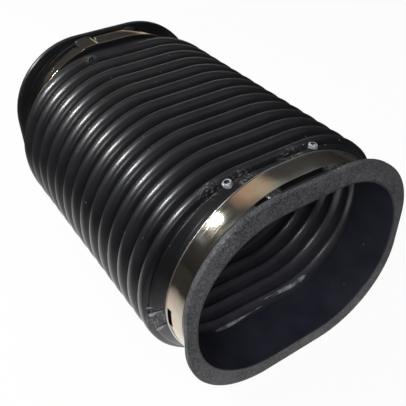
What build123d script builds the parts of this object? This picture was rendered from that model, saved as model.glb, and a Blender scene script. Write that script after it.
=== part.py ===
from build123d import *
import os
from math import asin, cos, degrees, radians, sin

# Bellows boot for an air duct: one rubber moulding with a steel strap round the cuff at each end.
# Millimetres. The tube's axis runs along Y, the boot lies on its flanges with +Z up, and the
# origin is under the middle of the boot, at the level that the flanges rest on.

# Whole boot, from mouth to mouth
tube_length = 273.0

# Mouth: the clear opening through the flange and the cuff
mouth_width = 160.0
mouth_height = 126.8
mouth_corner = 60.3
mouth_edge = 1.0
mouth_length = 35.5

# Seal flange at each mouth, with a rim that tapers towards its back edge
flange_width = 175.2
flange_height = 153.2
flange_corner = 63.3
flange_thick = 4.8
flange_edge = 0.8
flange_draft = 0.25

# Cuff that carries the strap
cuff_width = 167.0
cuff_height = 149.4

# Steel strap, closed round the cuff, and the clearances to the rubber round it
strap_width = 19.0
strap_thick = 0.8
strap_from_mouth = 8.8
strap_clearance = 0.1
strap_end_gap = 0.2

# Ribs: an obround envelope, with the crests a little further apart towards the rear
rib_count = 14
rib_width = 195.6
rib_height = 148.8
rib_depth = 9.0
wall = 3.5
first_crest = 39.2
front_pitch = 13.2
rear_pitch = 16.3

# Rib shape: fall from the crest, as a share of the depth, at shares of the half pitch
outside_shape = ((0.4, 0.0), (0.84, 0.4), (1.0, 1.0))
inside_shape = ((0.0, 0.0), (0.48, 0.5), (1.0, 1.0))

# Shoulder from the strap up to the end rib: distances past the strap, and falls below the crests at
# the sides and at the top, for the foot and crest of a low half rib and the groove behind it
shoulder = ((1.6, 6.4, 3.0), (5.2, 2.6, 1.7), (7.6, 2.6, 3.6))

# Facets round the tube
facets = 28

# Windows in the land beside the strap, on top: ends across the tube, width along it and depth
window_spans = ((-35.5, -28.4), (-18.4, 14.0))
window_width = 2.2
window_depth = 3.6

# Bridges: raised lumps on the land beside the windows
bridge_spans = ((-27.6, -19.4), (14.8, 27.6))
bridge_rise = 0.9
bridge_root = 2.0

# Moulding pips: small dimpled buttons, two on the front shoulder and one on the last rib
front_pip_across = (-36.4, 28.8)
front_pip_from_mouth = 34.0
rear_pip_across = -31.0
rear_pip_before_crest = 2.6
pip_radius = 2.7
pip_rise = 1.2
pip_root = 4.0
dimple_radius = 1.0
dimple_depth = 0.9

# Slot through the front strap, low on the left side, close to the strap's inner edge
slot_length = 16.0
slot_width = 2.4
slot_margin = 1.8
slot_below_axis = 8.0

# Lap that closes each strap: on top at the rear, underneath at the front
lap_length = 14.0
lap_across = 29.0

# Worked out from the sizes above
half_length = tube_length / 2
axis_z = flange_height / 2
strap_end = strap_from_mouth + strap_width
shoulder_end = strap_end + shoulder[-1][0]
mouth = (mouth_width / 2, mouth_height / 2, mouth_corner)
flange = (flange_width / 2, flange_height / 2, flange_corner)
cuff = (cuff_width / 2, cuff_height / 2, cuff_height / 2)
crest = (rib_width / 2, rib_height / 2, rib_height / 2)


def grown(section, amount):
    """Section of the same form, larger all round by an amount."""
    half_width, half_height, corner = section
    return half_width + amount, half_height + amount, corner + amount


# Strap seat, and the land between it and the flange, which is level with the strap
strap_inside = grown(cuff, strap_clearance)
strap_outside = grown(strap_inside, strap_thick)
seat_start = strap_from_mouth - strap_end_gap
seat_end = strap_end + strap_end_gap


def lowered(section, side, top):
    """Obround section that falls by one amount at the sides and another at the top."""
    half_width, half_height, corner = section
    return half_width - side, half_height - top, half_height - top


def facet_ring(from_mouth, section):
    """Corners of a faceted section across the tube, every facet touching the true outline."""
    half_width, half_height, corner = section
    angles = [radians(360 / facets * k) for k in range(facets + 1)]
    reach = [
        (half_width - corner) * abs(cos(a)) + (half_height - corner) * abs(sin(a)) + corner
        for a in angles
    ]
    corners = []
    for a, b, reach_a, reach_b in zip(angles, angles[1:], reach, reach[1:]):
        x = (reach_a * sin(b) - reach_b * sin(a)) / sin(b - a)
        z = (reach_b * cos(a) - reach_a * cos(b)) / sin(b - a)
        corners.append((x, from_mouth - half_length, axis_z + z))
    return corners


def skinned_solid(stations):
    """Solid whose skin passes through a closed loop of faceted sections."""
    rings = [facet_ring(place, section) for place, section in stations]
    faces = []
    for ring, next_ring in zip(rings, rings[1:] + rings[:1]):
        for k in range(facets):
            quad = (ring[k - 1], ring[k], next_ring[k], next_ring[k - 1])
            faces.append(Face(Wire.make_polygon(quad)))
    return Solid(Shell(faces))


def shell_piece(start, end, inner, outer, across, upward=True):
    """Piece of the obround shell between two sections, cut to a span across the tube."""
    shell = skinned_solid([(start, outer), (end, outer), (end, inner), (start, inner)])
    left, right = across
    side = Align.MIN if upward else Align.MAX
    block = Box(right - left, 2 * tube_length, flange_height, align=(Align.MIN, Align.CENTER, side))
    return shell & Pos(left, 0, axis_z) * block


def turned_end(shape):
    """The same shape at the other end of the tube, turned half a turn about the vertical."""
    return Rot(0, 0, 180) * shape


def crest_place(rib):
    """Distance from the front mouth to the crest of a rib, counted from 0."""
    growth = (rear_pitch - front_pitch) / (rib_count - 2)
    return first_crest + rib * front_pitch + growth * rib * (rib - 1) / 2


def half_pitches(rib):
    """Distances from a crest to the grooves before and after it."""
    before = crest_place(rib) - crest_place(rib - 1) if rib > 0 else front_pitch
    after = crest_place(rib + 1) - crest_place(rib) if rib < rib_count - 1 else rear_pitch
    return before / 2, after / 2


def rib_stations(rib, shape, offset):
    """Sections over one rib, from behind the groove before it to the groove after it."""
    before, after = half_pitches(rib)
    rising = [(-before * share, fall) for share, fall in reversed(shape) if 0 < share < 1]
    falling = [(after * share, fall) for share, fall in shape]
    return [
        (crest_place(rib) + step, grown(crest, -offset - rib_depth * fall))
        for step, fall in rising + falling
    ]


def all_ribs(shape, offset, clear_of_mouth):
    """Sections over every rib, leaving out those within a distance of either mouth."""
    stations = [station for rib in range(rib_count) for station in rib_stations(rib, shape, offset)]
    return [
        (place, section)
        for place, section in stations
        if clear_of_mouth < place < tube_length - clear_of_mouth
    ]


def mirrored(stations):
    """The same stations at the other end of the tube, in reverse order."""
    return [(tube_length - place, section) for place, section in reversed(stations)]


def outside_end():
    """Sections of the outside from the face of the flange to the groove before the end rib."""
    stations = [
        (0.0, grown(flange, -flange_edge)),
        (flange_edge, flange),
        (flange_thick - flange_edge, grown(flange, -flange_draft)),
        (flange_thick, grown(flange, -flange_edge)),
        (flange_thick, strap_outside),
        (seat_start, strap_outside),
        (seat_start, cuff),
        (seat_end, cuff),
    ]
    for step, side, top in shoulder:
        stations.append((strap_end + step, lowered(crest, side, top)))
    return stations


def inside_end():
    """Sections of the inside from the lip of the mouth to the inner end of the cuff."""
    return [(0.0, grown(mouth, mouth_edge)), (mouth_edge, mouth), (mouth_length, mouth)]


def boot_wall():
    """Ribbed wall with a cuff and a flange at each end."""
    outside_ribs = all_ribs(outside_shape, 0.0, shoulder_end)
    inside_ribs = all_ribs(inside_shape, wall, mouth_length)
    outside = outside_end() + outside_ribs + mirrored(outside_end())
    inside = inside_end() + inside_ribs + mirrored(inside_end())
    return skinned_solid(outside + inside[::-1])


def windows():
    """Material to take out of the front land, beside the strap."""
    floor = grown(strap_outside, -window_depth)
    top = grown(strap_outside, 1.0)
    start = seat_start - window_width
    return [shell_piece(start, seat_start + strap_end_gap, floor, top, span) for span in window_spans]


def bridges():
    """Lumps to add to the front land, between the windows."""
    root = grown(strap_outside, -bridge_root)
    top = grown(strap_outside, bridge_rise)
    start = flange_thick - flange_edge
    return [shell_piece(start, seat_start, root, top, span) for span in bridge_spans]


def pip(from_mouth, across, surface):
    """Dimpled button that stands square on an obround surface, on its upper side."""
    half_width, half_height, corner = surface
    over_centre = half_width - corner
    past = max(abs(across) - over_centre, 0.0)
    lean = degrees(asin(past / corner)) * (1 if across > 0 else -1)
    centre = across - corner * sin(radians(lean))
    button = Cylinder(pip_radius, pip_rise + pip_root, align=(Align.CENTER, Align.CENTER, Align.MAX))
    dimple = Cylinder(dimple_radius, dimple_depth, align=(Align.CENTER, Align.CENTER, Align.MAX))
    stud = Pos(0, 0, corner + pip_rise) * (button - dimple)
    return Pos(centre, from_mouth - half_length, axis_z) * Rot(0, lean, 0) * stud


def all_pips():
    """The pips on the front shoulder and on the last rib."""
    low_rib = lowered(crest, *shoulder[1][1:])
    pips = [pip(front_pip_from_mouth, across, low_rib) for across in front_pip_across]
    rear_place = crest_place(rib_count - 1) - rear_pip_before_crest
    return pips + [pip(rear_place, rear_pip_across, crest)]


def bellows_boot():
    """The whole rubber moulding."""
    cuts = windows()
    lumps = bridges()
    cuts += [turned_end(cut) for cut in cuts]
    lumps += [turned_end(lump) for lump in lumps]
    return boot_wall().fuse(*lumps, *all_pips()).cut(*cuts)


def strap():
    """Plain closed strap in its place on the front cuff."""
    return skinned_solid(
        [
            (strap_from_mouth, strap_inside),
            (strap_from_mouth, strap_outside),
            (strap_end, strap_outside),
            (strap_end, strap_inside),
        ]
    )


def lap(upward):
    """Second thickness of strap where its outer end laps over the inner one."""
    top = grown(strap_outside, strap_thick)
    span = (lap_across - lap_length, lap_across)
    return shell_piece(strap_from_mouth, strap_end, strap_inside, top, span, upward)


def front_band():
    """Strap on the front cuff, with its slot, lapped underneath."""
    slot = Box(strap_thick * 8, slot_width, slot_length)
    slot_place = strap_end - slot_margin - slot_width / 2 - half_length
    slot_height = axis_z - slot_below_axis
    return strap() + lap(False) - Pos(-strap_outside[0], slot_place, slot_height) * slot


def rear_band():
    """Strap on the rear cuff, lapped on top."""
    return turned_end(strap() + lap(True))


os.makedirs("parts", exist_ok=True)
export_step(bellows_boot(), "parts/bellows_boot.step")
export_step(front_band(), "parts/front_band.step")
export_step(rear_band(), "parts/rear_band.step")
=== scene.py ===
from math import atan2, cos, hypot, pi, radians, sin, sqrt

import bpy
from mathutils import Matrix, Vector, noise


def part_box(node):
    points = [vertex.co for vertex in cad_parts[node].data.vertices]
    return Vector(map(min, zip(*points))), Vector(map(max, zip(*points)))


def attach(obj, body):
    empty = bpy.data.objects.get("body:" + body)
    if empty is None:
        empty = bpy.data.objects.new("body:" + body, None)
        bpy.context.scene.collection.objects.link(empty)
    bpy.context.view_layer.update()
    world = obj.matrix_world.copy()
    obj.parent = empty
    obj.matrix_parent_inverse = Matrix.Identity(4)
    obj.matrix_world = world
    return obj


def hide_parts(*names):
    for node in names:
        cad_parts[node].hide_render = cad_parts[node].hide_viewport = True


# Bellows boot for an air duct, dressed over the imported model. Metres, in the model's own frame: the
# tube's axis runs along Y from the front mouth to the rear one, and +Z is up from the floor.
# A place is a distance along the tube from the front mouth. An angle turns round the tube's axis,
# from +X towards +Z.

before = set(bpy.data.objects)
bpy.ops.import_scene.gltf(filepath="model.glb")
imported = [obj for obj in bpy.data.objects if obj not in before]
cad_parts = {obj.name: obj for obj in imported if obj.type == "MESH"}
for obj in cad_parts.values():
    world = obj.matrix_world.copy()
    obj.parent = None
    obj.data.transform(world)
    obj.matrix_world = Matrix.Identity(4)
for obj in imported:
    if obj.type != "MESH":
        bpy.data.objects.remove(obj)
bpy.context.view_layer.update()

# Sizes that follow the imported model
boot_low, boot_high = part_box("bellows_boot")
TUBE_LENGTH = boot_high.y - boot_low.y
FLANGE_HEIGHT = boot_high.z - boot_low.z
RIB_WIDTH = boot_high.x - boot_low.x
HALF_LENGTH = TUBE_LENGTH / 2
AXIS_Z = (boot_high.z + boot_low.z) / 2

# Outlines across the tube: half width, half height and corner radius
MOUTH = (0.0800, 0.0634, 0.0603)
FLANGE = (0.0876, FLANGE_HEIGHT / 2, 0.0633)
CUFF = (0.0835, 0.0747, 0.0747)
CREST = (RIB_WIDTH / 2, 0.0744, 0.0744)

# Rounding of corners: steps in each one, and the most of a side that one may take up
ROUND_STEPS = 4
ROUND_SHARE = 0.48
TINY = 1e-6

# Edges of a mesh are shaded sharp from this angle
SHARP = radians(50)

# Mouth and flange: the flange's rim tapers towards its back
FLANGE_THICK = 0.0048
FLANGE_TAPER = 0.0002
MOUTH_LIP = 0.0012
LIP_ROUND = 0.0010
RIM_ROUND = 0.0013
BACK_ROUND = 0.0009
ROOT_ROUND = 0.0005
CUFF_LENGTH = 0.0355

# Steel strap round each cuff, with a bead rolled along its inner edge. The bead's own steel, on the
# front strap paler than the strip's as a painted highlight, starts a margin past its foot.
STRAP_FROM_MOUTH = 0.0103
STRAP_WIDTH = 0.0159
STRAP_THICK = 0.0008
STRAP_CLEARANCE = 0.0001
STRAP_ROUND = 0.0002
STRAP_RIM_ROUND = 0.0003
STRAP_STEPS = 3
STRAP_END = STRAP_FROM_MOUTH + STRAP_WIDTH
BEAD_WIDTH = 0.0010
BEAD_RISE = 0.0004
BEAD_SLOPE = 0.00025
BEAD_ROOT_ROUND = 0.0001
BEAD_START = STRAP_END - BEAD_WIDTH
BEAD_MARGIN = 0.000025

# Seat of the strap in the cuff, a little wider than the strap
SEAT_GAP = 0.0002
SEAT_ROUND = 0.0001
SEAT_START = STRAP_FROM_MOUTH - SEAT_GAP
SEAT_END = STRAP_END + SEAT_GAP

# The strap and its seat wander along the tube: how far and in how many waves, and the distances
# from a mouth at which the wander starts, is full, begins to fade and ends
WANDER = 0.0008
WANDER_WAVES = 4
WANDER_SPAN = (0.0056, 0.0072, 0.0280, 0.0320)

# The front strap's inner edge stands off the cuff on the left side: how far, at which angle most,
# and how sharply it comes back to the cuff on each side of that
STRAP_LIFT = 0.0017
LIFT_ANGLE = radians(188)
LIFT_SHARPNESS = 4

# Shoulder from the strap to the end rib: places, falls below the crests at the sides and at the
# top, and roundings. In order: the end of the seat, the foot and crest of a low half rib, and the
# two sides of the groove behind it.
LOW_RIB_FALL = (0.0044, 0.0017)
SHOULDER = (
    (SEAT_END + SEAT_GAP, 0.0126, 0.0034, 0.0006),
    (0.0294, 0.0118, 0.0030, 0.0010),
    (0.0334, *LOW_RIB_FALL, 0.0020),
    (0.0354, 0.0046, 0.0036, 0.0003),
    (0.0359, 0.0010, 0.0010, 0.0),
)
SHOULDER_END = SHOULDER[-1][0]

# Ribs, and the ridges inside them
RIB_COUNT = 14
RIB_DEPTH = 0.0090
WALL = 0.0035
FIRST_CREST = 0.0392
FRONT_PITCH = 0.0132
REAR_PITCH = 0.0163
RIB_FULLNESS = 2.6
RIB_STEPS = 12
RIDGE_BREADTH = 0.4
RIDGE_STEPS = 8

# Columns round the tube, with a close pair of them at each edge of a window, bridge or lap
COLUMNS = 216
MARK_GAP = 0.0012
MARK_CLEAR = 0.0110

# Unevenness of the moulded wall: the most that a point sinks, and the length of the swells
WALL_SWELL = 0.0004
WALL_SWELL_LENGTH = 0.024

# Windows and bridges on the land beside the strap: ends across the tube, on top
WINDOW_SPANS = ((-0.0355, -0.0284), (-0.0184, 0.0140))
WINDOW_WIDTH = 0.0034
WINDOW_DEPTH = 0.0036
WINDOW_START = SEAT_START - WINDOW_WIDTH
WINDOW_EDGE = 0.0003
BRIDGE_SPANS = ((-0.0276, -0.0194), (0.0148, 0.0276))
BRIDGE_RISE = 0.0009
BRIDGE_ROUND = 0.0014

# The boot's rubbers, in the order of its materials, and the distances from a mouth to which the
# flange and the cuff have their own
RIBS, FLANGES, CUFFS, RIDGES, SEATS = range(5)
FLANGE_RUBBER_END = FLANGE_THICK - 0.0010
CUFF_RUBBER_END = CUFF_LENGTH + 0.0005

# Dimpled pips: two on the low half rib behind the front strap, and a small one on the last rib
PIP_RADIUS = 0.0031
PIP_RISE = 0.0013
PIP_ROOT = 0.0030
DIMPLE_RADIUS = 0.0014
DIMPLE_DEPTH = 0.0016
PIP_STEPS = 28
FRONT_PIP_PLACE = 0.0342
FRONT_PIPS = (-0.0364, 0.0288)
REAR_PIP = -0.0310
REAR_PIP_SIZE = 0.6
REAR_PIP_BEFORE_CREST = 0.0026

# Section of a pip, from its root to the middle of its dimple: distances from its axis, and heights.
# The last bands of it are the dimple.
PIP_PROFILE = (
    (PIP_RADIUS, -PIP_ROOT),
    (PIP_RADIUS, PIP_RISE * 0.4),
    (PIP_RADIUS * 0.9, PIP_RISE * 0.8),
    (PIP_RADIUS * 0.7, PIP_RISE),
    (DIMPLE_RADIUS * 1.2, PIP_RISE * 0.95),
    (DIMPLE_RADIUS * 0.8, PIP_RISE - DIMPLE_DEPTH * 0.7),
    (DIMPLE_RADIUS * 0.3, PIP_RISE - DIMPLE_DEPTH),
)
DIMPLE_BANDS = 2

# Turn either way, in radians, that tells how an outline runs at a point
SMALL_TURN = 0.01

# Slot in the front strap, low on the left side, near the strap's inner edge
SLOT_LENGTH = 0.0130
SLOT_WIDTH = 0.0040
SLOT_MARGIN = 0.0016
SLOT_BELOW_AXIS = 0.0022
SLOT_START = STRAP_END - SLOT_MARGIN - SLOT_WIDTH
SLOT_END = SLOT_START + SLOT_WIDTH

# Lap that closes each strap
LAP_LENGTH = 0.0140
LAP_ACROSS = 0.0290
LAP_RAMP = 0.0006

# Creases on the shoulder and lugs in the cuff are spindles. The skew moves the thickest part
# towards the first end, the tip is how thin an end is, and the power makes the spindle fuller.
CREASE_STEPS = 14
CREASE_SIDES = 10
CREASE_SKEW = 0.55
CREASE_TIP = 0.06
CREASE_POWER = 0.7

# Ends of each crease and lug, with a place and an angle in degrees, and its greatest radius
SHOULDER_LINES = (
    ((0.0354, 183.8), (0.0295, 180.6), 0.0011),
    ((0.0338, 193.2), (0.0294, 189.9), 0.0012),
    ((0.0356, 179.8), (0.0326, 178.4), 0.0006),
    ((0.0316, 184.4), (0.0322, 190.0), 0.0006),
)
CUFF_LINES = (
    ((0.0410, 237.6), (0.0414, 262.0), 0.0018),
    ((0.0414, 257.0), (0.0416, 274.0), 0.0005),
    ((0.0428, 308.5), (0.0430, 282.5), 0.0021),
    ((0.0440, 296.0), (0.0436, 272.0), 0.0005),
)

# Looks: the range of a cloud's noise, the share of a soft spot's radius that is at full strength,
# the colour of dust, and the roughness of the rubber's coat and of the pale painted-highlight rubber
CLOUD_RANGE = (0.3, 0.7)
SPOT_CORE = 0.4
DUST = (0.25, 0.25, 0.26)
COAT_ROUGHNESS = 0.28
HIGHLIGHT_ROUGHNESS = (0.18, 0.34)

# Depths of the fine relief on the pale painted-highlight rubber and on the steel
HIGHLIGHT_DEPTH = 0.00004
STEEL_WAVES = 0.0004
STEEL_STREAKS = 0.00002

# Specks of dust: cells to the metre, a speck's radius as a share of a cell, and the share of cells
# that have none, with a further small share over which they fade in
SPECKS = (260, 0.15, 0.93)
SPECKS_FADE = 0.02

# Places with pale streaks in the rubber: where they are, how far they reach, and how strong they are
PALE_STREAK_SPOTS = (
    ((-0.025, -0.105, 0.148), 0.010),
    ((0.011, -0.1035, 0.148), 0.011),
    ((-0.048, -0.099, 0.1466), 0.009),
    ((-0.092, -0.105, 0.066), 0.016),
    ((-0.031, 0.093, 0.148), 0.007),
    ((-0.0235, -0.130, 0.1530), 0.006),
    ((0.021, -0.130, 0.1530), 0.008),
    ((-0.062, -0.132, 0.139), 0.012),
)
PALE_STREAK_STRENGTH = 0.55

# Floor: how far it reaches, its colour and roughness in the light, how white it is to the camera,
# and the distances over which its white fades in reflections, with what is left of it
FLOOR_REACH = 6.0
FLOOR_COLOUR = (0.9, 0.9, 0.9)
FLOOR_ROUGHNESS = 0.9
FLOOR_WHITE = 0.94
FLOOR_FADE = (0.14, 0.30)
FLOOR_FAR = 0.04
WHITE = (1, 1, 1)

# Room: colours at the horizon and overhead, and soft bright places, each with its azimuth and
# elevation in degrees, its half width and half height in radians, and its light
ROOM_LOW = (0.022, 0.021, 0.023)
ROOM_HIGH = (0.085, 0.09, 0.10)
ROOM_PATCHES = (
    (20, 4, 0.60, 0.12, (0.75, 0.66, 0.52)),
    (10, 52, 0.36, 0.20, (0.42, 0.32, 0.23)),
    (-48, 24, 0.12, 0.08, (0.16, 0.19, 0.23)),
    (80, 60, 0.60, 0.35, (0.20, 0.21, 0.24)),
)

# Lamps: name, azimuth and elevation in degrees, distance, width and height, power, colour, and
# whether reflections show the lamp
LAMPS = (
    ("window", 222, 38, 1.6, (0.08, 0.34), 17, (0.97, 0.99, 1.0), True),
    ("fill", -33, 50, 1.5, (1.2, 0.9), 11, (1.0, 0.99, 0.97), False),
    ("front_window", -52, 38, 1.6, (0.40, 0.30), 4, (1.0, 0.98, 0.94), True),
)

# Camera: what it looks at, where from, and its lens and sensor in millimetres
VIEW_TARGET = Vector((-0.0359, -0.0759, 0.1156))
VIEW_AZIMUTH = radians(-32.97)
VIEW_ELEVATION = radians(38.69)
VIEW_ROLL = radians(-1.19)
VIEW_DISTANCE = 0.3637
VIEW_LENS = 50.65
VIEW_SENSOR = 36.0


# ---------------------------------------------------------------- outlines and paths

def grown(section, amount):
    """The same outline, larger all round by an amount."""
    half_width, half_height, corner = section
    return half_width + amount, half_height + amount, corner + amount


def lowered(section, side, top):
    """Outline that falls by one amount at the sides and by another at the top."""
    half_width, half_height, corner = section
    return half_width - side, half_height - top, half_height - top


STRAP_INSIDE = grown(CUFF, STRAP_CLEARANCE)
STRAP_OUTSIDE = grown(STRAP_INSIDE, STRAP_THICK)
LOW_RIB = lowered(CREST, *LOW_RIB_FALL)


def outline_radius(section, angle):
    """Distance from the tube's axis to an outline, along a ray at an angle."""
    half_width, half_height, corner = section
    across, up = abs(cos(angle)), abs(sin(angle))
    flat_x, flat_z = half_width - corner, half_height - corner
    if across * half_height <= flat_x * up:
        return half_height / up
    if up * half_width <= flat_z * across:
        return half_width / across
    along = flat_x * across + flat_z * up
    return along + sqrt(along**2 - flat_x**2 - flat_z**2 + corner**2)


def angle_at(section, across):
    """Angle of the point on the upper side of an outline, at a distance across the tube."""
    half_width, half_height, corner = section
    past = max(abs(across) - (half_width - corner), 0.0)
    height = half_height - corner + sqrt(corner**2 - past**2)
    return atan2(height, across)


def tube_point(place, section, angle, rise=0.0):
    """Point on an outline at a place, or above it by a rise."""
    radius = outline_radius(section, angle) + rise
    return Vector((radius * cos(angle), place - HALF_LENGTH, AXIS_Z + radius * sin(angle)))


def from_mouth(place):
    """Distance of a place from the nearer mouth."""
    return min(place, TUBE_LENGTH - place)


def wandered(place, angle):
    """A place beside or under the strap, moved along the tube as the strap wanders."""
    depth = from_mouth(place)
    start, full, fading, end = WANDER_SPAN
    share = min((depth - start) / (full - start), 1, (end - depth) / (end - fading))
    side = 1 if place < HALF_LENGTH else -1
    return place + WANDER * max(share, 0) * cos(WANDER_WAVES * angle) * side


def part_way(a, b, share):
    """Station between two others; a station is a place and an outline."""
    place = a[0] + (b[0] - a[0]) * share
    return place, tuple(p + (q - p) * share for p, q in zip(a[1], b[1]))


def apart(a, b):
    """How far two stations are from each other in the tube's long section."""
    return hypot(b[0] - a[0], max(abs(b[1][0] - a[1][0]), abs(b[1][1] - a[1][1])))


def rounding_end(corner, neighbour, radius):
    """Station where the rounding of a corner ends, on the side that runs to a neighbour."""
    side = max(apart(corner, neighbour), TINY)
    return part_way(corner, neighbour, min(radius / side, ROUND_SHARE))


def softened(corners, steps=ROUND_STEPS):
    """Path of stations with rounded corners; each corner is a place, an outline and a radius."""
    path = []
    last = len(corners) - 1
    for index, (place, section, radius) in enumerate(corners):
        here = (place, section)
        if index in (0, last) or radius == 0:
            path.append(here)
            continue
        enter = rounding_end(here, corners[index - 1][:2], radius)
        leave = rounding_end(here, corners[index + 1][:2], radius)
        for step in range(steps + 1):
            share = step / steps
            first, second = part_way(enter, here, share), part_way(here, leave, share)
            path.append(part_way(first, second, share))
    return path


def turned(path):
    """The same path at the other end of the tube, in reverse order."""
    return [(TUBE_LENGTH - place, section) for place, section in reversed(path)]


def section_at(path, place):
    """Outline of a skin at a place; its path runs from the front mouth to the rear one."""
    for here, there in zip(path, path[1:]):
        if here[0] <= place < there[0]:
            return part_way(here, there, (place - here[0]) / (there[0] - here[0]))[1]
    return path[-1][1]


# ---------------------------------------------------------------- meshes

def mesh_object(name, points, faces, materials):
    """Object with a smooth-shaded mesh, added to the scene."""
    mesh = bpy.data.meshes.new(name)
    mesh.from_pydata(points, [], faces)
    mesh.validate()
    mesh.update()
    mesh.polygons.foreach_set("use_smooth", [True] * len(mesh.polygons))
    mesh.set_sharp_from_angle(angle=SHARP)
    for material in materials:
        mesh.materials.append(material)
    piece = bpy.data.objects.new(name, mesh)
    bpy.context.scene.collection.objects.link(piece)
    return piece


def ring_faces(rows, columns, first=0):
    """Quads of a closed loop of closed rings."""
    faces = []
    for row in range(rows):
        for column in range(columns):
            here, there = first + row * columns, first + (row + 1) % rows * columns
            beside = (column + 1) % columns
            faces.append((here + column, here + beside, there + beside, there + column))
    return faces


def capped_faces(rows, columns, first=0):
    """Quads of a stack of closed rings, with a flat cap on each end."""
    faces = ring_faces(rows, columns, first)[: (rows - 1) * columns]
    last = first + (rows - 1) * columns
    faces.append(tuple(first + column for column in reversed(range(columns))))
    faces.append(tuple(last + column for column in range(columns)))
    return faces


def dressed(piece, node):
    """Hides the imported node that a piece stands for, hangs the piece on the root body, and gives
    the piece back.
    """
    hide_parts(node)
    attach(piece, "root")
    return piece


# ---------------------------------------------------------------- boot

def crest_place(rib):
    """Place of the crest of a rib, counted from 0."""
    growth = (REAR_PITCH - FRONT_PITCH) / (RIB_COUNT - 2)
    return FIRST_CREST + rib * FRONT_PITCH + growth * rib * (rib - 1) / 2


def half_pitches(rib):
    """Distances from a crest to the grooves before and after it."""
    before = crest_place(rib) - crest_place(rib - 1) if rib > 0 else FRONT_PITCH
    after = crest_place(rib + 1) - crest_place(rib) if rib < RIB_COUNT - 1 else REAR_PITCH
    return before / 2, after / 2


def rib_path(rib):
    """Outside of a rib: full and round, with a narrow groove on each side."""
    before, after = half_pitches(rib)
    path = []
    for step in range(1, RIB_STEPS + 1):
        turn = pi * (step / RIB_STEPS - 0.5)
        share = abs(sin(turn)) ** (2 / RIB_FULLNESS)
        reach = after * share if turn > 0 else -before * share
        path.append((crest_place(rib) + reach, grown(CREST, -RIB_DEPTH * (1 - cos(turn)))))
    return path


def ridge_path(rib):
    """Inside of a rib: a smooth wave with broad ridges under the grooves."""
    before, after = half_pitches(rib)
    path = []
    for step in range(1, RIDGE_STEPS + 1):
        share = 2 * step / RIDGE_STEPS - 1
        swell = abs(share) - RIDGE_BREADTH * sin(pi * abs(share)) / pi
        reach = after * swell if share > 0 else -before * swell
        fall = RIB_DEPTH * (1 - cos(pi * share)) / 2
        path.append((crest_place(rib) + reach, grown(CREST, -WALL - fall)))
    return path


def between(path, low, high):
    """The stations of a path that lie between two places."""
    return [station for station in path if low < station[0] < high]


def end_outside():
    """Outside of one end: flange, land, strap seat and shoulder."""
    land = STRAP_OUTSIDE
    corners = [
        (0.0, MOUTH, 0.0),
        (0.0, grown(MOUTH, MOUTH_LIP), 0.0),
        (0.0, FLANGE, RIM_ROUND),
        (FLANGE_THICK, grown(FLANGE, -FLANGE_TAPER), BACK_ROUND),
        (FLANGE_THICK, land, ROOT_ROUND),
        ((FLANGE_THICK + WINDOW_START) / 2, land, 0.0),
        (WINDOW_START - WINDOW_EDGE, land, 0.0),
        (WINDOW_START, land, 0.0),
        (WINDOW_START + WINDOW_WIDTH / 2, land, 0.0),
        (SEAT_START, land, 0.0),
        (SEAT_START, CUFF, SEAT_ROUND),
        (SEAT_END, CUFF, SEAT_ROUND),
    ]
    for place, side, top, rounding in SHOULDER:
        corners.append((place, lowered(CREST, side, top), rounding))
    return softened(corners)[1:]


def end_inside():
    """Inside of one end: rounded lip and smooth cuff."""
    lip = (0.0, grown(MOUTH, MOUTH_LIP), 0.0)
    return softened([lip, (0.0, MOUTH, LIP_ROUND), (CUFF_LENGTH, MOUTH, 0.0)])[1:]


def outside_path():
    """Outside of the boot, from the front mouth to the rear one."""
    ribs = [station for rib in range(RIB_COUNT) for station in rib_path(rib)]
    ribs = between(ribs, SHOULDER_END, TUBE_LENGTH - SHOULDER_END)
    return end_outside() + ribs + turned(end_outside())


def inside_path():
    """Inside of the boot, from the front mouth to the rear one."""
    ridges = [station for rib in range(RIB_COUNT) for station in ridge_path(rib)]
    ridges = between(ridges, CUFF_LENGTH, TUBE_LENGTH - CUFF_LENGTH)
    return end_inside() + ridges + turned(end_inside())


def column_angles(marks):
    """Angles round the tube: even, but with a close pair at each mark."""
    even = [2 * pi * k / COLUMNS for k in range(COLUMNS)]
    kept = [a for a in even if all(abs(a - mark) > MARK_CLEAR for mark in marks)]
    pairs = [mark + side * MARK_GAP for mark in marks for side in (-1, 1)]
    return sorted(kept + pairs)


def mark_angles():
    """Angles of the ends of the windows and bridges, at both ends of the tube."""
    spans = WINDOW_SPANS + BRIDGE_SPANS
    marks = [angle_at(STRAP_OUTSIDE, edge) for span in spans for edge in span]
    return marks + [pi - mark for mark in marks]


def in_span(spans, across):
    """Depth inside the nearest of several spans, or a negative number outside them all."""
    return max(min(across - low, high - across) for low, high in spans)


def land_relief(place, section, point):
    """Rise or fall of the land beside the strap, for its bridges and windows."""
    if section != STRAP_OUTSIDE or point.z < AXIS_Z:
        return 0.0
    depth = from_mouth(place)
    across = point.x if place < HALF_LENGTH else -point.x
    if depth > WINDOW_START - WINDOW_EDGE / 2 and in_span(WINDOW_SPANS, across) > 0:
        return -WINDOW_DEPTH
    inside = in_span(BRIDGE_SPANS, across)
    along = min(depth - FLANGE_THICK, SEAT_START - depth)
    if inside < 0 or along < 0:
        return 0.0
    swell = min(1.0, inside / BRIDGE_ROUND) * min(1.0, along / BRIDGE_ROUND)
    return BRIDGE_RISE * sqrt(swell)


def wall_swell(point):
    """Slight unevenness of the moulding, which only ever sinks the surface."""
    return WALL_SWELL * (noise.noise(point / WALL_SWELL_LENGTH) - 1) / 2


def skin_points(path, angles, swells_from):
    """Points of one skin, with the land's relief, and with the wall's swells past a place."""
    points = []
    for place, section in path:
        swelling = swells_from < place < TUBE_LENGTH - swells_from
        for angle in angles:
            point = tube_point(place, section, angle)
            rise = wall_swell(point) if swelling else land_relief(place, section, point)
            points.append(tube_point(wandered(place, angle), section, angle, rise))
    return points


def outside_kind(depth):
    """Which rubber the boot's outside has, at a distance from the nearer mouth."""
    if depth < FLANGE_RUBBER_END:
        return FLANGES
    return SEATS if STRAP_FROM_MOUTH < depth < STRAP_END else RIBS


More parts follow.
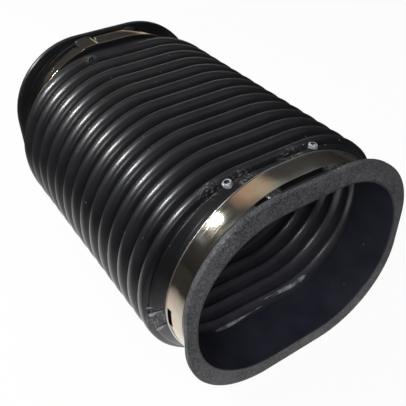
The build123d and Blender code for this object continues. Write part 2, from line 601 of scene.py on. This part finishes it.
def inside_kind(depth):
    """Which rubber the boot's inside has, at a distance from the nearer mouth."""
    return CUFFS if depth < CUFF_RUBBER_END else RIDGES


def boot(materials):
    """The rubber moulding, in one loop of rings: along its outside and back along its inside."""
    angles = column_angles(mark_angles())
    outside, inside = outside_path(), inside_path()[::-1]
    points = skin_points(outside, angles, SEAT_END) + skin_points(inside, angles, CUFF_LENGTH)
    faces = ring_faces(len(outside) + len(inside), len(angles))
    piece = mesh_object("boot_rubber", points, faces, materials)
    kinds = [outside_kind(from_mouth(place)) for place, _ in outside]
    kinds += [inside_kind(from_mouth(place)) for place, _ in inside]
    indices = [kind for kind in kinds for _ in angles]
    piece.data.polygons.foreach_set("material_index", indices)
    return dressed(piece, "bellows_boot")


def pip_points(place, section, across, size):
    """Rings of one dimpled pip, square on the boot's upper side; its size is a share of full."""
    angle = angle_at(section, across)
    foot = tube_point(place, section, angle)
    ahead = Vector((0, 1, 0))
    before, after = (tube_point(place, section, angle + turn) for turn in (-SMALL_TURN, SMALL_TURN))
    beside = (before - after).normalized()
    up = beside.cross(ahead)
    rings = []
    for radius, height in PIP_PROFILE:
        for step in range(PIP_STEPS):
            turn = 2 * pi * step / PIP_STEPS
            reach = radius * (beside * cos(turn) + ahead * sin(turn))
            rings.append(foot + size * (up * height + reach))
    return rings


def pips(materials):
    """The moulding's pips: the two large ones painted pale round a dark dimple, a painted highlight
    ring; the small one is dark all over.
    """
    last_place = crest_place(RIB_COUNT - 1) - REAR_PIP_BEFORE_CREST
    seats = [(FRONT_PIP_PLACE, LOW_RIB, across, 1.0) for across in FRONT_PIPS]
    seats.append((last_place, CREST, REAR_PIP, REAR_PIP_SIZE))
    bands = len(PIP_PROFILE) - 1
    points, faces, indices = [], [], []
    for seat in seats:
        faces += capped_faces(len(PIP_PROFILE), PIP_STEPS, len(points))
        points += pip_points(*seat)
        # The large pips' rims take the pale rubber, a painted highlight; their dimples keep the
        # boot's own dark rubber.
        highlight_bands = bands - DIMPLE_BANDS if seat[-1] == 1.0 else 0
        indices += [0] * (highlight_bands * PIP_STEPS) + [1] * ((bands - highlight_bands) * PIP_STEPS)
        indices += [0, 1]
    piece = mesh_object("moulding_pips", points, faces, materials)
    piece.data.polygons.foreach_set("material_index", indices)
    return dressed(piece, "bellows_boot")


def crease_points(path, first, last, radius):
    """Rings of a spindle half sunk in a skin, between two ends, each a place and an angle."""
    spine, rings = [], []
    for step in range(CREASE_STEPS + 1):
        place, angle = (a + (b - a) * step / CREASE_STEPS for a, b in zip(first, last))
        spine.append(tube_point(place, section_at(path, place), radians(angle)))
    for step, point in enumerate(spine):
        ahead = (spine[min(step + 1, CREASE_STEPS)] - spine[max(step - 1, 0)]).normalized()
        outward = Vector((point.x, 0, point.z - AXIS_Z))
        beside = outward.cross(ahead).normalized()
        up = ahead.cross(beside)
        swell = sin(pi * (step / CREASE_STEPS) ** CREASE_SKEW)
        girth = radius * max(swell, CREASE_TIP) ** CREASE_POWER
        for side in range(CREASE_SIDES):
            turn = 2 * pi * side / CREASE_SIDES
            rings.append(point + girth * (beside * cos(turn) + up * sin(turn)))
    return rings


def creases(name, material, path, lines):
    """Short creases or lugs on one skin of the moulding."""
    points, faces = [], []
    for first, last, radius in lines:
        faces += capped_faces(CREASE_STEPS + 1, CREASE_SIDES, len(points))
        points += crease_points(path, first, last, radius)
    return dressed(mesh_object(name, points, faces, [material]), "bellows_boot")


# ---------------------------------------------------------------- straps

def strap_path():
    """Closed path round the strap's section."""
    bead_top = grown(STRAP_OUTSIDE, BEAD_RISE)
    corners = [
        (STRAP_FROM_MOUTH, STRAP_INSIDE, STRAP_ROUND),
        (STRAP_FROM_MOUTH, STRAP_OUTSIDE, STRAP_RIM_ROUND),
        (SLOT_START, STRAP_OUTSIDE, 0.0),
        (SLOT_END, STRAP_OUTSIDE, 0.0),
        (BEAD_START, STRAP_OUTSIDE, BEAD_ROOT_ROUND),
        (BEAD_START + BEAD_SLOPE, bead_top, STRAP_ROUND),
        (STRAP_END - BEAD_SLOPE, bead_top, STRAP_ROUND),
        (STRAP_END, STRAP_OUTSIDE, STRAP_ROUND),
        (STRAP_END, STRAP_INSIDE, STRAP_ROUND),
        (SLOT_END, STRAP_INSIDE, 0.0),
        (SLOT_START, STRAP_INSIDE, 0.0),
    ]
    looped = softened(corners[-1:] + corners + corners[:1], STRAP_STEPS)
    return looped[1:-1]


def lap_rise(section, point, upward):
    """Rise of the strap's outside where its two ends lap, on top or underneath."""
    if section[0] < STRAP_OUTSIDE[0] or (point.z > AXIS_Z) != upward:
        return 0.0
    inside = min(point.x - LAP_ACROSS + LAP_LENGTH, LAP_ACROSS - point.x)
    return STRAP_THICK * min(max(inside / LAP_RAMP + 0.5, 0.0), 1.0)


def edge_lift(place, angle):
    """Rise of the front strap where its inner edge stands off the cuff."""
    across = (place - STRAP_FROM_MOUTH) / STRAP_WIDTH
    return STRAP_LIFT * across * max(cos(angle - LIFT_ANGLE), 0) ** LIFT_SHARPNESS


def slot_columns(angles):
    """First and last column of the slot, low on the left side."""
    half_width = STRAP_OUTSIDE[0]
    middle = pi + SLOT_BELOW_AXIS / half_width
    half = SLOT_LENGTH / 2 / half_width
    first = min(range(len(angles)), key=lambda k: abs(angles[k] - middle + half))
    last = min(range(len(angles)), key=lambda k: abs(angles[k] - middle - half))
    return first, last


def slotted(faces, path, columns, first, last):
    """The strap's faces with a slot cut through it from one column to another."""
    marked = [row for row, (place, _) in enumerate(path) if place in (SLOT_START, SLOT_END)]
    near_out, far_out, far_in, near_in = marked
    kept = [
        face for index, face in enumerate(faces)
        if index // columns not in (near_out, far_in) or not first <= index % columns < last
    ]
    walls = []
    for column in range(first, last):
        for outer, inner in ((near_out, near_in), (far_in, far_out)):
            beside = column + 1
            walls.append(((outer, column), (outer, beside), (inner, beside), (inner, column)))
    walls.append([(row, first) for row in (near_out, near_in, far_in, far_out)])
    walls.append([(row, last) for row in (near_out, far_out, far_in, near_in)])
    return kept + [tuple(row * columns + column for row, column in wall) for wall in walls]


def band(name, node, rear, materials):
    """Steel strap round one cuff, with its lap, and the slot in the front one."""
    side = 1 if rear else -1
    lap_edges = (LAP_ACROSS, LAP_ACROSS - LAP_LENGTH)
    angles = column_angles([side * angle_at(STRAP_OUTSIDE, edge) % (2 * pi) for edge in lap_edges])
    path = strap_path()
    points = []
    for place, section in path:
        for angle in angles:
            rise = lap_rise(section, tube_point(place, section, angle), rear)
            rise += 0 if rear else edge_lift(place, angle)
            points.append(tube_point(wandered(place, angle), section, angle, rise))
    faces = ring_faces(len(path), len(angles))
    if rear:
        points = [Vector((-p.x, -p.y, p.z)) for p in points]
    else:
        faces = slotted(faces, path, len(angles), *slot_columns(angles))
    piece = mesh_object(name, points, faces, materials)
    # The front strap's bead takes the paler steel, a painted highlight along its edge.
    for face in piece.data.polygons:
        place, section = path[min(face.vertices) // len(angles)]
        on_bead = place > BEAD_START + BEAD_MARGIN and section != STRAP_INSIDE
        face.material_index = len(materials) - 1 if on_bead else 0
    return dressed(piece, node)


# ---------------------------------------------------------------- shader nodes

def fed(tree, node, inputs):
    """Gives a node its inputs, each a plain value or another node's output, and gives it back."""
    for key, value in inputs.items():
        socket = node.inputs[key]
        if isinstance(value, bpy.types.NodeSocket):
            tree.links.new(value, socket)
        elif socket.type == "RGBA":
            socket.default_value = (*value, 1)
        else:
            socket.default_value = value
    return node


def new_node(tree, kind, inputs, **settings):
    """New node with its inputs and its settings."""
    node = tree.nodes.new(kind)
    for name, value in settings.items():
        setattr(node, name, value)
    return fed(tree, node, inputs)


def shader(name):
    """New node material; gives the material, its node tree and its main shader."""
    material = bpy.data.materials.new(name)
    material.use_nodes = True
    tree = material.node_tree
    return material, tree, tree.nodes["Principled BSDF"]


def stretched_point(tree, stretch=(1, 1, 1)):
    """The surface's own coordinates, scaled along each axis."""
    own = tree.nodes.new("ShaderNodeTexCoord").outputs["Object"]
    return new_node(tree, "ShaderNodeMapping", {"Scale": stretch, "Vector": own}).outputs["Vector"]


def cloud(tree, scale, detail=3.0, stretch=(1, 1, 1)):
    """Noise; its scale is in swells to the metre, and its detail in finer and finer layers."""
    inputs = {"Scale": scale, "Detail": detail, "Vector": stretched_point(tree, stretch)}
    return new_node(tree, "ShaderNodeTexNoise", inputs).outputs["Fac"]


def remapped(tree, value, low, high, to_low=0.0, to_high=1.0):
    """A value carried from one range to another and held inside it."""
    ends = {"From Min": low, "From Max": high, "To Min": to_low, "To Max": to_high}
    return new_node(tree, "ShaderNodeMapRange", {"Value": value, **ends}).outputs["Result"]


def calculated(tree, operation, first, second):
    """Result of one operation on two values."""
    return new_node(tree, "ShaderNodeMath", {0: first, 1: second}, operation=operation).outputs[0]


def most_of(tree, most, *others):
    """The largest of several values."""
    for other in others:
        most = calculated(tree, "MAXIMUM", most, other)
    return most


def mixed_colour(tree, share, first, second, blend="MIX"):
    """One colour turned into another by a share, or joined with it in another blend."""
    inputs = {"Factor": share}
    node = new_node(tree, "ShaderNodeMix", inputs, data_type="RGBA", blend_type=blend)
    sides = [key for key, socket in enumerate(node.inputs) if socket.type == "RGBA"]
    fed(tree, node, dict(zip(sides, (first, second))))
    return next(socket for socket in node.outputs if socket.type == "RGBA")


def mixed_shader(tree, share, first, second):
    """One shader turned into another by a share."""
    inputs = {"Fac": share, 1: first, 2: second}
    return new_node(tree, "ShaderNodeMixShader", inputs).outputs["Shader"]


def bumped(tree, main, layers):
    """Bump from several heights, each with its depth in metres."""
    normal = {}
    for height, depth in layers:
        inputs = {"Strength": 1.0, "Distance": depth, "Height": height, **normal}
        normal = {"Normal": new_node(tree, "ShaderNodeBump", inputs).outputs["Normal"]}
    fed(tree, main, normal)


def specks(tree, scale, size, rarity):
    """Sparse round specks, 1 on a speck and 0 off it."""
    inputs = {"Scale": scale, "Vector": stretched_point(tree)}
    cells = new_node(tree, "ShaderNodeTexVoronoi", inputs)
    spot = remapped(tree, cells.outputs["Distance"], size, size * SPOT_CORE)
    split = new_node(tree, "ShaderNodeSeparateColor", {"Color": cells.outputs["Color"]})
    chosen = remapped(tree, split.outputs["Red"], rarity, rarity + SPECKS_FADE)
    return calculated(tree, "MULTIPLY", spot, chosen)


def near_spots(tree, spots):
    """How near a point is to any of several spots; each is a place in space and a radius."""
    shares = []
    for centre, radius in spots:
        ends = {0: stretched_point(tree), 1: centre}
        gap = new_node(tree, "ShaderNodeVectorMath", ends, operation="DISTANCE").outputs["Value"]
        shares.append(remapped(tree, gap, radius, radius * SPOT_CORE))
    return most_of(tree, *shares)


# ---------------------------------------------------------------- materials

def rubber(name, dark, pale, smooth, rough, grain, coat=0.0, pale_spots=(), grit=0.0, shine=0.3):
    """Moulded rubber with cloudy colour and gloss, a fine skin and specks of dust.

    It can have a glossy coat, pale streaks at several spots, pale grit and its own shine.
    """
    material, tree, main = shader(name)
    clouds = remapped(tree, cloud(tree, scale=55, detail=4), 0.35, 0.65)
    body = mixed_colour(tree, clouds, dark, pale)
    if grit:
        grains = remapped(tree, cloud(tree, scale=1000, detail=4), 0.40, 0.66, to_high=grit)
        body = mixed_colour(tree, grains, body, DUST)
    specks_and_streaks = specks(tree, *SPECKS)
    if pale_spots:
        streaks = cloud(tree, scale=520, detail=7, stretch=(1, 1.8, 1))
        streaks = remapped(tree, streaks, 0.50, 0.66, to_high=PALE_STREAK_STRENGTH)
        specks_and_streaks = most_of(tree, specks_and_streaks, calculated(tree, "MULTIPLY", near_spots(tree, pale_spots), streaks))
    fed(tree, main, {
        "Base Color": mixed_colour(tree, specks_and_streaks, body, DUST),
        "Roughness": remapped(tree, cloud(tree, scale=60, detail=3), *CLOUD_RANGE, smooth, rough),
        "Specular IOR Level": shine,
        "Coat Weight": coat,
        "Coat Roughness": COAT_ROUGHNESS,
    })
    broad, fine = cloud(tree, scale=90, detail=2), cloud(tree, scale=1400, detail=3)
    bumped(tree, main, [(broad, grain * 4), (fine, grain)])
    return material


def painted_highlight_rubber(name, dark, pale, scale):
    """Shiny rubber painted pale and whitish in patches of a scale, as a painted highlight."""
    material, tree, main = shader(name)
    paleness = remapped(tree, cloud(tree, scale), 0.40, 0.60)
    fed(tree, main, {
        "Base Color": mixed_colour(tree, paleness, dark, pale),
        "Roughness": remapped(tree, paleness, 0.0, 1.0, *HIGHLIGHT_ROUGHNESS),
    })
    bumped(tree, main, [(cloud(tree, scale=400), HIGHLIGHT_DEPTH)])
    return material


def steel(name, warm, cool, smooth, rough):
    """Rolled steel strip: streaks along the strip, faint warm and olive tints in clouds, and slight
    waves.
    """
    material, tree, main = shader(name)
    warm_olive_tint = remapped(tree, cloud(tree, scale=90, detail=4), 0.38, 0.62)
    streaks = cloud(tree, scale=60, detail=4, stretch=(1, 30, 1))
    fed(tree, main, {
        "Metallic": 1.0,
        "Base Color": mixed_colour(tree, warm_olive_tint, warm, cool),
        "Roughness": remapped(tree, streaks, *CLOUD_RANGE, smooth, rough),
    })
    waves = cloud(tree, scale=45, detail=2)
    bumped(tree, main, [(waves, STEEL_WAVES), (streaks, STEEL_STREAKS)])
    return material


def boot_rubbers():
    """The boot's rubbers: of its ribs, flange faces, cuffs, inner ridges and strap seats; the cuffs'
    and ridges' colours are painted light.
    """
    return [
        rubber(
            "rubber", (0.006, 0.0063, 0.0078), (0.011, 0.0115, 0.014),
            smooth=0.42, rough=0.48, grain=0.000002, coat=0.8, pale_spots=PALE_STREAK_SPOTS,
        ),
        rubber(
            "flange_rubber", (0.026, 0.027, 0.030), (0.064, 0.065, 0.071),
            smooth=0.50, rough=0.68, grain=0.00006, pale_spots=PALE_STREAK_SPOTS, grit=0.38,
        ),
        # Cuff: the boot's black rubber painted lighter and bluer, as painted light falling in at the
        # mouth.
        rubber(
            "cuff_painted_light_rubber", (0.018, 0.019, 0.029), (0.026, 0.027, 0.041),
            smooth=0.34, rough=0.48, grain=0.00001,
        ),
        # Inner ridges: the boot's black rubber painted several times lighter, as painted light inside
        # the tube.
        rubber(
            "ridge_painted_light_rubber", (0.030, 0.031, 0.040), (0.045, 0.046, 0.059),
            smooth=0.30, rough=0.36, grain=0.000002, coat=1.0, shine=1.0,
        ),
        rubber(
            "seat_rubber", (0.030, 0.028, 0.024), (0.045, 0.042, 0.036),
            smooth=0.90, rough=0.95, grain=0.00001, shine=0.05,
        ),
    ]


def strap_steels():
    """The straps' steels: of the strip, and of the bead along its edge, paler as a painted highlight.
    """
    return [
        steel("strap_steel", (0.68, 0.54, 0.43), (0.65, 0.65, 0.52), smooth=0.05, rough=0.16),
        steel("bead_painted_highlight", (0.80, 0.76, 0.68), (0.92, 0.90, 0.84), smooth=0.30, rough=0.42),
    ]


# ---------------------------------------------------------------- floor, lights and camera

def pale_floor():
    """White floor that keeps a faint shadow; in reflections its white fades away from the boot."""
    material, tree, main = shader("floor")
    fed(tree, main, {"Base Color": FLOOR_COLOUR, "Roughness": FLOOR_ROUGHNESS})
    seen = tree.nodes.new("ShaderNodeLightPath").outputs
    out = new_node(tree, "ShaderNodeVectorMath", {0: stretched_point(tree)}, operation="LENGTH")
    near = remapped(tree, out.outputs["Value"], *FLOOR_FADE, 1.0, FLOOR_FAR)
    strength = most_of(tree, seen["Is Camera Ray"], near)
    glow = new_node(tree, "ShaderNodeEmission", {"Color": WHITE, "Strength": strength})
    to_camera = remapped(tree, seen["Is Camera Ray"], 0, 1, 0, FLOOR_WHITE)
    share = most_of(tree, to_camera, seen["Is Glossy Ray"], seen["Is Transmission Ray"])
    surface = mixed_shader(tree, share, main.outputs["BSDF"], glow.outputs["Emission"])
    fed(tree, tree.nodes["Material Output"], {"Surface": surface})
    reach = FLOOR_REACH
    corners = [(-reach, -reach, 0), (reach, -reach, 0), (reach, reach, 0), (-reach, reach, 0)]
    floor = mesh_object("floor", corners, [(0, 1, 2, 3)], [material])


def aimed(azimuth, elevation):
    """Turn of what looks at the boot from an azimuth and an elevation.

    The azimuth turns from the -Y side, anticlockwise seen from above.
    """
    return Matrix.Rotation(azimuth, 4, "Z") @ Matrix.Rotation(pi / 2 - elevation, 4, "X")


def area_lamp(name, azimuth, elevation, distance, size, power, colour, in_reflections):
    """Lamp that faces the middle of the boot; its azimuth and elevation are in degrees."""
    data = bpy.data.lights.new(name, "AREA")
    data.shape = "RECTANGLE"
    data.size, data.size_y = size
    data.energy = power
    data.color = colour
    lamp = bpy.data.objects.new(name, data)
    bpy.context.scene.collection.objects.link(lamp)
    lamp.visible_glossy = in_reflections
    centre = Matrix.Translation((0, 0, AXIS_Z))
    turn = aimed(radians(azimuth), radians(elevation))
    lamp.matrix_world = centre @ turn @ Matrix.Translation((0, 0, distance))


def towards(azimuth, elevation):
    """Direction at an azimuth, turned from +Y towards +X, and an elevation, both in degrees."""
    turn, tilt = radians(azimuth), radians(elevation)
    return Vector((cos(tilt) * sin(turn), cos(tilt) * cos(turn), sin(tilt)))


def patch(tree, direction, room, centre, wide, high, colour):
    """Room colour with one soft bright patch added; its half sizes are in radians."""
    kind = "ShaderNodeVectorMath"
    offset = new_node(tree, kind, {0: direction, 1: centre}, operation="SUBTRACT")
    sizes = (1 / wide, 1 / wide, 1 / high)
    inputs = {0: offset.outputs["Vector"], 1: sizes}
    scaled = new_node(tree, kind, inputs, operation="MULTIPLY")
    length = new_node(tree, kind, {0: scaled.outputs["Vector"]}, operation="LENGTH")
    share = remapped(tree, length.outputs["Value"], 1.0, SPOT_CORE)
    return mixed_colour(tree, share, room, colour, blend="ADD")


def world_light():
    """Dim room with a few soft bright places, white to the camera."""
    world = bpy.data.worlds.new("studio")
    bpy.context.scene.world = world
    world.use_nodes = True
    tree = world.node_tree
    direction = tree.nodes.new("ShaderNodeTexCoord").outputs["Generated"]
    split = new_node(tree, "ShaderNodeSeparateXYZ", {"Vector": direction})
    ramp = new_node(tree, "ShaderNodeValToRGB", {"Fac": split.outputs["Z"]})
    for end, place, colour in zip(ramp.color_ramp.elements, (0.0, 1.0), (ROOM_LOW, ROOM_HIGH)):
        end.position, end.color = place, (*colour, 1)
    room = ramp.outputs["Color"]
    for azimuth, elevation, wide, high, glow in ROOM_PATCHES:
        room = patch(tree, direction, room, towards(azimuth, elevation), wide, high, glow)
    dim = fed(tree, tree.nodes["Background"], {"Color": room}).outputs["Background"]
    white = new_node(tree, "ShaderNodeBackground", {"Color": WHITE}).outputs["Background"]
    to_camera = tree.nodes.new("ShaderNodeLightPath").outputs["Is Camera Ray"]
    fed(tree, tree.nodes["World Output"], {"Surface": mixed_shader(tree, to_camera, dim, white)})


def camera():
    """Camera at the photograph's place."""
    data = bpy.data.cameras.new("camera")
    data.lens = VIEW_LENS
    data.sensor_width = VIEW_SENSOR
    seen = bpy.data.objects.new("camera", data)
    bpy.context.scene.collection.objects.link(seen)
    turn = aimed(VIEW_AZIMUTH, VIEW_ELEVATION) @ Matrix.Rotation(VIEW_ROLL, 4, "Z")
    back = Matrix.Translation((0, 0, VIEW_DISTANCE))
    seen.matrix_world = Matrix.Translation(VIEW_TARGET) @ turn @ back
    bpy.context.scene.camera = seen


# ---------------------------------------------------------------- the whole scene

camera()
rubbers = boot_rubbers()
boot(rubbers)
# The shoulder creases and cuff lugs are painted pale as painted glints; the large pips' pale rims are
# painted highlights.
crease_highlight = painted_highlight_rubber("painted_highlight_rubber", (0.09, 0.10, 0.12), (0.34, 0.36, 0.40), scale=150)
pip_rubber = painted_highlight_rubber("pip_rubber", (0.22, 0.23, 0.24), (0.46, 0.48, 0.50), scale=420)
pips([pip_rubber, rubbers[RIBS]])
creases("shoulder_creases", crease_highlight, outside_path(), SHOULDER_LINES)
creases("cuff_lugs", crease_highlight, inside_path(), CUFF_LINES)
steels = strap_steels()
band("strap_front", "front_band", False, steels)
band("strap_rear", "rear_band", True, steels[:1])
pale_floor()
world_light()
for lamp in LAMPS:
    area_lamp(*lamp)
bpy.context.scene.view_settings.view_transform = "Standard"
